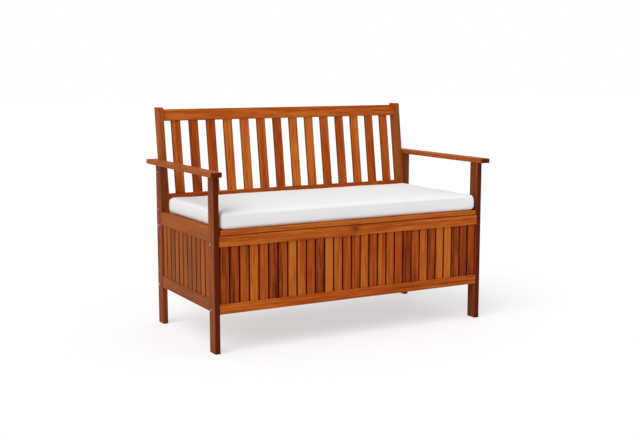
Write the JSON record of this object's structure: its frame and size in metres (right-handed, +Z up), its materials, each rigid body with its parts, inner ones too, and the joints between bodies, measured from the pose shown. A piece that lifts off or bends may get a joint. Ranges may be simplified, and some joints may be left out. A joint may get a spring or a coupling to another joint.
{
  "type": "garden storage bench",
  "caption": "Slatted hardwood garden bench with armrests, a raked slatted back, a hinged seat lid over a storage box, and a loose seat cushion.",
  "frame": {"origin": "on the ground, under the middle of the bench's overall box", "axes": "+X along the seat to the right as seen from the front, +Y to the back, +Z up"},
  "size_m": [1.2, 0.65, 0.85],
  "materials": {
    "oiled_hardwood": "satin oiled, straight grain",
    "inner_hardwood": "matt, lightly oiled",
    "hinge_steel": "plated, satin",
    "cushion_cloth": "off-white plain weave"
  },
  "bodies": {
    "frame": {"back_left_stile": "oiled_hardwood", "back_lower_rail": "oiled_hardwood", "back_right_stile": "oiled_hardwood", "back_slat_01": "oiled_hardwood", "back_slat_02": "oiled_hardwood", "back_slat_03": "oiled_hardwood", "back_slat_04": "oiled_hardwood", "back_slat_05": "oiled_hardwood", "back_slat_06": "oiled_hardwood", "back_slat_07": "oiled_hardwood", "back_slat_08": "oiled_hardwood", "back_slat_09": "oiled_hardwood", "back_slat_10": "oiled_hardwood", "back_slat_11": "oiled_hardwood", "back_slat_12": "oiled_hardwood", "back_slat_13": "oiled_hardwood", "back_slat_14": "oiled_hardwood", "back_top_rail": "oiled_hardwood", "floor_boards": "inner_hardwood", "floor_ledgers": "inner_hardwood", "front_left_corner_batten": "oiled_hardwood", "front_left_leg": "oiled_hardwood", "front_lower_rail": "oiled_hardwood", "front_right_corner_batten": "oiled_hardwood", "front_right_leg": "oiled_hardwood", "front_slats": "oiled_hardwood", "front_upper_rail": "oiled_hardwood", "hinge_frame_leaves": "hinge_steel", "hinge_pins": "hinge_steel", "left_armrest": "oiled_hardwood", "left_side_lower_rail": "oiled_hardwood", "left_side_slats": "oiled_hardwood", "left_side_upper_rail": "oiled_hardwood", "rear_left_corner_batten": "oiled_hardwood", "rear_left_leg": "oiled_hardwood", "rear_lower_rail": "oiled_hardwood", "rear_right_corner_batten": "oiled_hardwood", "rear_right_leg": "oiled_hardwood", "rear_slats": "oiled_hardwood", "rear_upper_rail": "oiled_hardwood", "right_armrest": "oiled_hardwood", "right_side_lower_rail": "oiled_hardwood", "right_side_slats": "oiled_hardwood", "right_side_upper_rail": "oiled_hardwood"},
    "lid": {"lid_slat_1": "oiled_hardwood", "lid_slat_2": "oiled_hardwood", "lid_slat_3": "oiled_hardwood", "lid_slat_4": "oiled_hardwood", "lid_slat_5": "oiled_hardwood", "lid_slat_6": "oiled_hardwood", "lid_slat_7": "oiled_hardwood", "lid_slat_8": "oiled_hardwood", "lid_battens": "inner_hardwood", "hinge_lid_leaves": "hinge_steel"},
    "cushion": {"seat_cushion": "cushion_cloth"}
  },
  "joints": [
    {"name": "lid_hinge", "type": "hinge", "parent": "frame", "child": "lid", "pos_m": [0, 0.21489, 0.44], "axis": [-1, 0, 0], "range_deg": [0, 98]},
    {"name": "cushion_lift", "type": "slide", "parent": "frame", "child": "cushion", "axis": [0, 0, 1], "range_m": [0, 0.9]}
  ],
  "couplings": [
    {"joint": "cushion_lift", "follows": "lid_hinge", "m_per_rad": 0.52}
  ]
}
